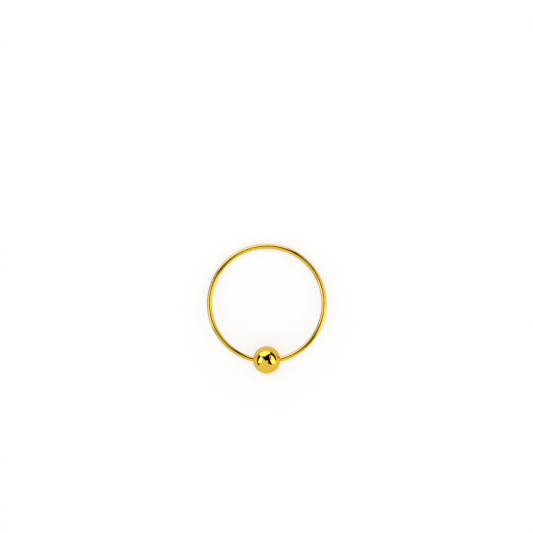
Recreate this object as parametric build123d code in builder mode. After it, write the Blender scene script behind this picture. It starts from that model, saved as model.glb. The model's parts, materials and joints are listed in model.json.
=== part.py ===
from build123d import *

import os
from math import asin, degrees, radians, sqrt, tan

# A captive ball nose ring: an open hoop of round wire whose two ends press into dimples on the
# two sides of a ball, which can turn between them.
#
# Lengths are in millimetres. The ring lies on its side on a flat surface, Z = 0, as it rests by
# itself: on its ball and on the side of the hoop that is farthest from the ball. +Z is up, +Y
# runs from the ball to that far side, and X runs through both dimples. The origin is on the
# surface, under the middle of the ring's bounding box.

# ---- driving dimensions ----

inner_diameter = 10.0  # clear width inside the hoop
wire_diameter = 0.45  # 25 gauge wire
ball_diameter = 2.5

tip_reach = 0.95  # from the ball's middle to the middle of each end of the wire
tip_fillet = 0.09  # round on the edge of each end of the wire

# Each dimple is drilled: a short round wall with the cone of the drill's point below it.
dimple_radius = 0.305
dimple_wall_reach = 0.95  # from the ball's middle to the foot of the round wall
drill_point_angle = 118
dimple_lip = 0.02  # polished round on the mouth

# ---- sizes that follow from them ----

wire_radius = wire_diameter / 2
ball_radius = ball_diameter / 2
hoop_radius = (inner_diameter + wire_diameter) / 2  # of the wire's centre line

# The ends of the wire hold the ball on its diameter, so its middle lies on the line through them.
tip_angle = degrees(asin(tip_reach / hoop_radius))
ball_drop = sqrt(hoop_radius**2 - tip_reach**2)  # from the hoop's centre to the ball's middle

# Resting on the ball and on the far side of the hoop, the ring's plane leans by this slope.
lean_sin = (ball_radius - wire_radius) / (hoop_radius + ball_drop)
lean_cos = sqrt(1 - lean_sin**2)

# Both ends of the ring's box lie the same distance from the origin along Y.
hoop_centre_y = (ball_drop * lean_cos + ball_radius - hoop_radius * lean_cos - wire_radius) / 2
hoop_centre_z = hoop_radius * lean_sin + wire_radius

# The hoop's own plane: its Y axis points from the ball's middle to the far side of the hoop.
ring_plane = Plane(
    origin=(0, hoop_centre_y, hoop_centre_z),
    x_dir=(1, 0, 0),
    z_dir=(0, lean_sin, lean_cos),
)
ring_axis = Axis(ring_plane.origin, ring_plane.z_dir)
ball_centre = ring_plane.from_local_coords(Vector(0, -ball_drop, 0))
spin_axis = Axis(ball_centre, (1, 0, 0))

# ---- hoop: round wire, open where the ball sits, with rounded ends ----

with BuildPart() as hoop:
    with BuildLine(ring_plane):
        centre_line = CenterArc((0, 0), hoop_radius, tip_angle - 90, 360 - 2 * tip_angle)
    with BuildSketch(Plane(origin=centre_line @ 0, z_dir=centre_line % 0)):
        Circle(wire_radius)
    revolve(axis=ring_axis, revolution_arc=360 - 2 * tip_angle)
    tip_edges = hoop.edges().filter_by(GeomType.CIRCLE).group_by(SortBy.RADIUS)[0]
    fillet(tip_edges, tip_fillet)

# ---- ball: half of its outline, with a drilled dimple at each end, turned about the spin axis ----

dimple_mouth_reach = sqrt(ball_radius**2 - dimple_radius**2)
dimple_tip_reach = dimple_wall_reach - dimple_radius / tan(radians(drill_point_angle / 2))

with BuildPart() as ball:
    with BuildSketch(Plane(origin=ball_centre)):
        with BuildLine():
            ThreePointArc(
                (dimple_mouth_reach, dimple_radius),
                (0, ball_radius),
                (-dimple_mouth_reach, dimple_radius),
            )
            Polyline(
                (-dimple_mouth_reach, dimple_radius),
                (-dimple_wall_reach, dimple_radius),
                (-dimple_tip_reach, 0),
                (dimple_tip_reach, 0),
                (dimple_wall_reach, dimple_radius),
                (dimple_mouth_reach, dimple_radius),
            )
        make_face()
    revolve(axis=spin_axis)
    mouths = ball.edges().filter_by(GeomType.CIRCLE).group_by(Axis.X)
    fillet(mouths[0] + mouths[-1], dimple_lip)

# ---- one STEP file for each piece ----

hoop.part.label = "hoop"
ball.part.label = "ball"

os.makedirs("parts", exist_ok=True)
export_step(hoop.part, "parts/hoop.step")
export_step(ball.part, "parts/ball.step")
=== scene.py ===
import json
from math import asin, atan2, cos, hypot, pi, radians, sin, sqrt, tan

import bmesh
import bpy
from mathutils import Matrix, Vector


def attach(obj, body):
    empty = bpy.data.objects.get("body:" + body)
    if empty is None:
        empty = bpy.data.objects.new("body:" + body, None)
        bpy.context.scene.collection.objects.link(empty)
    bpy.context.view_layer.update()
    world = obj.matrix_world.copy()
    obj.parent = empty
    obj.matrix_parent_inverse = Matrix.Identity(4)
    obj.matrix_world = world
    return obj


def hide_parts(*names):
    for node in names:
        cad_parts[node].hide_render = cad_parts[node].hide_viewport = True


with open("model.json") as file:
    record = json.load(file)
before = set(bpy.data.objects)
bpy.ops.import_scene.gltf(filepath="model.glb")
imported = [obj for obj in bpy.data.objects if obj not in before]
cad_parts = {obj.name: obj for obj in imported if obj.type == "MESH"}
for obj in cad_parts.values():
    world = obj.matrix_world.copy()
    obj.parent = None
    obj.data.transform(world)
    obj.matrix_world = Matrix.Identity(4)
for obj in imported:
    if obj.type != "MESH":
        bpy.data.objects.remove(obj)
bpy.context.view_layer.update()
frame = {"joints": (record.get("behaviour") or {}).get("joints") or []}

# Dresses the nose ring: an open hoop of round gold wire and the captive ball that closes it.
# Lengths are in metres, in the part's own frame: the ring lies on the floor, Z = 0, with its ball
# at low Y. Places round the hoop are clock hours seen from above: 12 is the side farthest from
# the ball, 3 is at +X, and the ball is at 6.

MM = 0.001

# ---- the ring's sizes ----

HOOP_RADIUS = 5.225 * MM  # of the wire's centre line
WIRE_RADIUS = 0.225 * MM
TIP_REACH = 0.95 * MM  # from the ball's middle to each end of the wire
TIP_ROUND = 0.09 * MM  # round on the edge of each end of the wire

DIMPLE_RADIUS = 0.305 * MM
DIMPLE_WALL_REACH = 0.95 * MM  # from the ball's middle to the foot of the dimple's round wall
DIMPLE_LIP = 0.02 * MM  # polished round on the dimple's mouth
DRILL_POINT = radians(118)

SHARP_FROM = radians(25)  # edges of a mesh that turn by more than this stay sharp

# ---- where the ring lies ----

ball_centre = Vector(frame["joints"][0]["pos_m"])
BALL_RADIUS = ball_centre.z
BALL_DROP = sqrt(HOOP_RADIUS**2 - TIP_REACH**2)  # from the hoop's centre to the ball's middle

# The ring rests on the ball and on the far side of the hoop, so its plane leans by this much.
LEAN = asin((BALL_RADIUS - WIRE_RADIUS) / (HOOP_RADIUS + BALL_DROP))

TO_3 = Vector((1, 0, 0))
TO_12 = Vector((0, cos(LEAN), -sin(LEAN)))
UP = Vector((0, sin(LEAN), cos(LEAN)))  # square to the ring's plane
hoop_centre = ball_centre + BALL_DROP * TO_12


def toward(hour):
    """The direction in the ring's plane that points at this hour."""
    angle = hour * pi / 6
    return sin(angle) * TO_3 + cos(angle) * TO_12


# ---- meshes ----


def new_object(name, points, faces):
    """An object from a list of points and a list of faces."""
    mesh = bpy.data.meshes.new(name)
    mesh.from_pydata([tuple(point) for point in points], [], faces)
    mesh.update()
    made = bpy.data.objects.new(name, mesh)
    bpy.context.scene.collection.objects.link(made)
    return made


def skin(name, rings):
    """A smooth closed skin over rings of points. The first and the last ring are single points."""
    points = [point for ring in rings for point in ring]
    faces = []
    start = 0
    for ring, following in zip(rings, rings[1:]):
        after = start + len(ring)
        count = max(len(ring), len(following))
        for i in range(count):
            j = (i + 1) % count
            corners = (start + i % len(ring), start + j % len(ring))
            corners += (after + j % len(following), after + i % len(following))
            faces.append(tuple(dict.fromkeys(corners)))
        start = after
    made = new_object(name, points, faces)
    shape = bmesh.new()
    shape.from_mesh(made.data)
    bmesh.ops.recalc_face_normals(shape, faces=shape.faces)
    shape.to_mesh(made.data)
    shape.free()
    made.data.polygons.foreach_set("use_smooth", [True] * len(made.data.polygons))
    made.data.set_sharp_from_angle(angle=SHARP_FROM)
    return made


def steps(first, last, count):
    """Evenly spaced values from the first to the last."""
    return [first + (last - first) * i / count for i in range(count + 1)]


def build_hoop():
    """The open hoop: round wire, bent to a circle, with its two ends rounded."""
    around, along, round_steps = 48, 720, 6
    tip_angle = asin(TIP_REACH / HOOP_RADIUS)
    round_angle = TIP_ROUND / HOOP_RADIUS

    # One end, from its middle outwards, as (angle in from the tip, radius of the section).
    end = [(0, 0)]
    for turn in steps(0, pi / 2, round_steps):
        end.append((round_angle * (1 - cos(turn)), WIRE_RADIUS - TIP_ROUND * (1 - sin(turn))))
    first = [(tip_angle + inset, radius) for inset, radius in end]
    last = [(2 * pi - angle, radius) for angle, radius in reversed(first)]
    middle = [(angle, WIRE_RADIUS) for angle in steps(first[-1][0], last[0][0], along)]

    rings = []
    for angle, radius in first + middle[1:-1] + last:
        outward = -sin(angle) * TO_3 - cos(angle) * TO_12
        centre = hoop_centre + HOOP_RADIUS * outward
        turns = steps(0, 2 * pi, around)[:-1] if radius else [0]
        rings.append([centre + radius * (cos(t) * outward + sin(t) * UP) for t in turns])
    return skin("gold_hoop", rings)


def build_ball():
    """The captive ball, turned about the line through its two drilled dimples."""
    around, along, lip_steps, floor_steps = 160, 120, 6, 4

    # The polished lip rolls from the dimple's wall to the ball's face.
    lip_centre_radius = DIMPLE_RADIUS + DIMPLE_LIP
    lip_centre_reach = sqrt((BALL_RADIUS - DIMPLE_LIP) ** 2 - lip_centre_radius**2)
    lip_end = atan2(lip_centre_radius, lip_centre_reach)

    # Half of the outline, as (reach along the dimples' line, distance from that line).
    cone_depth = DIMPLE_RADIUS / tan(DRILL_POINT / 2)
    half = []
    for share in steps(0, 1, floor_steps):
        half.append((DIMPLE_WALL_REACH - cone_depth * (1 - share), DIMPLE_RADIUS * share))
    for turn in steps(-pi / 2, lip_end, lip_steps):
        reach = lip_centre_reach + DIMPLE_LIP * cos(turn)
        half.append((reach, lip_centre_radius + DIMPLE_LIP * sin(turn)))
    for turn in steps(lip_end, pi / 2, along // 2)[1:]:
        half.append((BALL_RADIUS * cos(turn), BALL_RADIUS * sin(turn)))
    outline = half + [(-reach, radius) for reach, radius in reversed(half[:-1])]

    rings = []
    for reach, radius in outline:
        centre = ball_centre + reach * TO_3
        turns = steps(0, 2 * pi, around)[:-1] if radius else [0]
        rings.append([centre + radius * (cos(t) * TO_12 + sin(t) * UP) for t in turns])
    made = skin("gold_ball", rings)

    # The drill leaves the dimples' walls and floors satin, up to the start of the polished lip.
    satin_radius = DIMPLE_RADIUS + DIMPLE_LIP / 4
    drilled = made.data.attributes.new("drilled", "FLOAT", "POINT")
    for vertex, mark in zip(made.data.vertices, drilled.data):
        away = vertex.co - ball_centre
        mark.value = hypot(away.y, away.z) < satin_radius
    return made


# ---- shaders ----


class Value:
    """One output of a shader node, which can be used in Python arithmetic."""

    def __init__(self, shader, socket):
        self.shader = shader
        self.socket = socket

    def math(self, operation, first, second):
        return self.shader.node("ShaderNodeMath", {"operation": operation}, {0: first, 1: second})

    def __add__(self, other):
        return self.math("ADD", self, other)

    def __radd__(self, other):
        return self.math("ADD", other, self)

    def __mul__(self, other):
        return self.math("MULTIPLY", self, other)

    def __rmul__(self, other):
        return self.math("MULTIPLY", other, self)


class Shader:
    """The node tree of one material or of the world."""

    def __init__(self, owner):
        owner.use_nodes = True
        self.tree = owner.node_tree
        self.tree.nodes.clear()

    def node(self, kind, settings, inputs, output=0):
        """Adds one node and returns one of its outputs as a Value."""
        made = self.tree.nodes.new(kind)
        for name, setting in settings.items():
            setattr(made, name, setting)
        for name, given in inputs.items():
            if isinstance(given, Value):
                self.tree.links.new(given.socket, made.inputs[name])
            else:
                made.inputs[name].default_value = given
        return Value(self, made.outputs[output]) if made.outputs else made

    def mix_colour(self, factor, first, second):
        """The first colour where the factor is 0, and the second where it is 1."""
        settings = {"data_type": "RGBA", "clamp_factor": True}
        # The node's colour sockets are its inputs 6 and 7 and its output 2.
        inputs = {"Factor": factor, 6: first, 7: second}
        return self.node("ShaderNodeMix", settings, inputs, 2)


def noise(shader, place, cells, detail, roughness=0.5):
    """Cloudy noise from 0 to 1, with this many cells to the metre."""
    inputs = {"Vector": place, "Scale": cells, "Detail": detail, "Roughness": roughness}
    return shader.node("ShaderNodeTexNoise", {}, inputs)


def between(shader, value, low, high):
    """0 below the low value, 1 above the high one, and smooth between them."""
    settings = {"interpolation_type": "SMOOTHSTEP"}
    inputs = {"Value": value, "From Min": low, "From Max": high}
    return shader.node("ShaderNodeMapRange", settings, inputs)


# ---- finishes ----

GOLD = (0.790, 0.515, 0.057, 1)
DEEP_GOLD = (0.740, 0.440, 0.040, 1)
GOLD_AT_A_GLANCE = (0.95, 0.74, 0.45, 1)  # the tint of what it mirrors at its edges
DEEPENING = 0.35  # how far the drift of colour goes from gold towards deep gold

# How fine the unevennesses of the polish are, in cells to the metre.
DRIFT_CELLS = 900
HAZE_CELLS = 2600
RIPPLE_CELLS = 9000
HAIRLINE_CELLS = 30000

# Roughness where the polish is clean, and what each flaw adds to it.
POLISHED = 0.045
HAZE_ROUGHNESS = 0.03
HAIRLINE_ROUGHNESS = 0.04
DRILLED_ROUGHNESS = 0.30

RIPPLE_HEIGHT = 0.00015 * MM
HAIRLINE_HEIGHT = 0.3  # as a share of the ripple's


def polished_gold():
    """Mirror polish: faint colour drift in the plating, a film of haze and fine hairlines.

    It is satin where the surface was drilled.
    """
    gold = bpy.data.materials.new("polished_gold")
    shader = Shader(gold)
    place = shader.node("ShaderNodeTexCoord", {}, {}, "Object")
    drift = between(shader, noise(shader, place, DRIFT_CELLS, 3), 0.45, 0.75)
    haze = between(shader, noise(shader, place, HAZE_CELLS, 4, 0.6), 0.4, 0.8)
    hairlines = between(shader, noise(shader, place, HAIRLINE_CELLS, 3, 0.7), 0.55, 0.8)
    ripple = noise(shader, place, RIPPLE_CELLS, 2)
    drilled = shader.node("ShaderNodeAttribute", {"attribute_name": "drilled"}, {}, "Fac")
    height = ripple + HAIRLINE_HEIGHT * hairlines
    roughness = POLISHED + HAZE_ROUGHNESS * haze + HAIRLINE_ROUGHNESS * hairlines
    bump = {"Strength": 1.0, "Distance": RIPPLE_HEIGHT, "Height": height}
    surface = shader.node(
        "ShaderNodeBsdfPrincipled",
        {},
        {
            "Base Color": shader.mix_colour(DEEPENING * drift, GOLD, DEEP_GOLD),
            "Metallic": 1.0,
            "Roughness": roughness + DRILLED_ROUGHNESS * drilled,
            "Specular Tint": GOLD_AT_A_GLANCE,
            "Normal": shader.node("ShaderNodeBump", {}, bump),
        },
    )
    shader.node("ShaderNodeOutputMaterial", {}, {"Surface": surface})
    return gold


# ---- stage ----

WHITE = (1, 1, 1, 1)
FLAG_LIGHT = 0.0  # black
SOFTBOX_LIGHT = 2.0  # twice the tent's light

# The studio is a white tent with three softboxes, and black flags behind and between them, all far
# from the ring. A panel is flat and plain. Each of its corners is an hour, and the degrees down
# from straight over the ring's plane.
FLAG_DISTANCE = 300 * MM
SOFTBOX_DISTANCE = 100 * MM
FLAGS = {
    "flag_overhead": [(10.25, 60), (8, 10), (3, 15), (1, 65)],
    "flag_inside_3": [(3, 10), (5.25, 30), (4.5, 60), (1.5, 65)],
    "flag_behind_3": [(0.25, 105), (1, 60), (3.25, 60), (3, 95)],
    "flag_behind_9": [(10.5, 105), (10.25, 65), (8, 65), (7.75, 105)],
}
SOFTBOXES = {
    "softbox_at_12": [(10.25, 95), (10, 60), (11.25, 35), (1, 70), (0, 105)],
    "softbox_at_9": [(10, 60), (9.5, 40), (8, 45), (8.25, 80)],
    "softbox_at_3": [(1.5, 60), (3.25, 30), (4.25, 55), (3.75, 85)],
}


def build_panel(name, light, distance, corners):
    """One flat panel with its own even light, which only polished metal mirrors."""
    points = []
    for hour, degrees in corners:
        tilt = radians(degrees)
        points.append(hoop_centre + distance * (sin(tilt) * toward(hour) + cos(tilt) * UP))
    panel = new_object(name, points, [range(len(points))])
    cloth = bpy.data.materials.new(name)
    shader = Shader(cloth)
    shine = shader.node("ShaderNodeEmission", {}, {"Color": WHITE, "Strength": light})
    shader.node("ShaderNodeOutputMaterial", {}, {"Surface": shine})
    cloth.cycles.emission_sampling = "NONE"
    panel.data.materials.append(cloth)
    panel.visible_camera = False
    panel.visible_diffuse = False
    panel.visible_shadow = False


def build_studio():
    """The panels that stand round the ring."""
    for name, corners in FLAGS.items():
        build_panel(name, FLAG_LIGHT, FLAG_DISTANCE, corners)
    for name, corners in SOFTBOXES.items():
        build_panel(name, SOFTBOX_LIGHT, SOFTBOX_DISTANCE, corners)


def build_floor():
    """The plain pale floor, which keeps the ring's soft shadow."""
    reach = 400 * MM  # from the middle to each side
    low = -0.004 * MM  # just clear of the metal
    square = ((-1, -1), (1, -1), (1, 1), (-1, 1))
    corners = [(reach * x, reach * y, low) for x, y in square]
    floor = new_object("floor", corners, [(0, 1, 2, 3)])
    paper = bpy.data.materials.new("floor_paper")
    shader = Shader(paper)
    diffuse = shader.node("ShaderNodeBsdfDiffuse", {}, {"Color": WHITE})
    white = shader.node("ShaderNodeEmission", {}, {"Color": WHITE, "Strength": 1.0})
    paleness = 0.6 * looked_at(shader)  # the rest shows the shadow
    surface = shader.node("ShaderNodeMixShader", {}, {0: paleness, 1: diffuse, 2: white})
    shader.node("ShaderNodeOutputMaterial", {}, {"Surface": surface})
    paper.cycles.emission_sampling = "NONE"
    floor.data.materials.append(paper)


def looked_at(shader):
    """1 for a ray from the camera, a mirror or a clear body, and 0 for light that bounces."""
    path = "ShaderNodeLightPath"
    camera = shader.node(path, {}, {}, "Is Camera Ray")
    glossy = shader.node(path, {}, {}, "Is Glossy Ray")
    through = shader.node(path, {}, {}, "Is Transmission Ray")
    return shader.node("ShaderNodeMath", {"use_clamp": True}, {0: camera + glossy, 1: through})


def build_light():
    """Soft white light from all round."""
    world = bpy.data.worlds.new("white_tent")
    bpy.context.scene.world = world
    shader = Shader(world)
    tent = shader.node("ShaderNodeBackground", {}, {"Color": WHITE, "Strength": 1.0})
    shader.node("ShaderNodeOutputWorld", {}, {"Surface": tent})


VIEW_WIDTH = 48.59 * MM  # of what the camera takes in, in the ring's plane
VIEW_SHIFT = 3.382 * MM * TO_12 - 0.012 * MM * TO_3  # from the hoop's centre to the view's


def build_camera():
    """Looks at the hoop square on, so that it shows as a true circle."""
    lens = bpy.data.cameras.new("camera")
    lens.lens = 100
    lens.sensor_width = 36
    lens.clip_start = 1 * MM
    lens.clip_end = 2
    camera = bpy.data.objects.new("camera", lens)
    bpy.context.scene.collection.objects.link(camera)
    bpy.context.scene.camera = camera
    place = hoop_centre + VIEW_SHIFT + VIEW_WIDTH * lens.lens / lens.sensor_width * UP
    turn = Matrix((TO_3, TO_12, UP)).transposed().to_4x4()
    camera.matrix_world = Matrix.Translation(place) @ turn


# ---- the ring, dressed, and its stage ----

hoop = build_hoop()
ball = build_ball()
gold = polished_gold()
for piece, body in ((hoop, "hoop"), (ball, "ball")):
    piece.data.materials.append(gold)
    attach(piece, body)
    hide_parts(body)

build_floor()
build_studio()
build_light()
build_camera()

bpy.context.scene.view_settings.view_transform = "Standard"
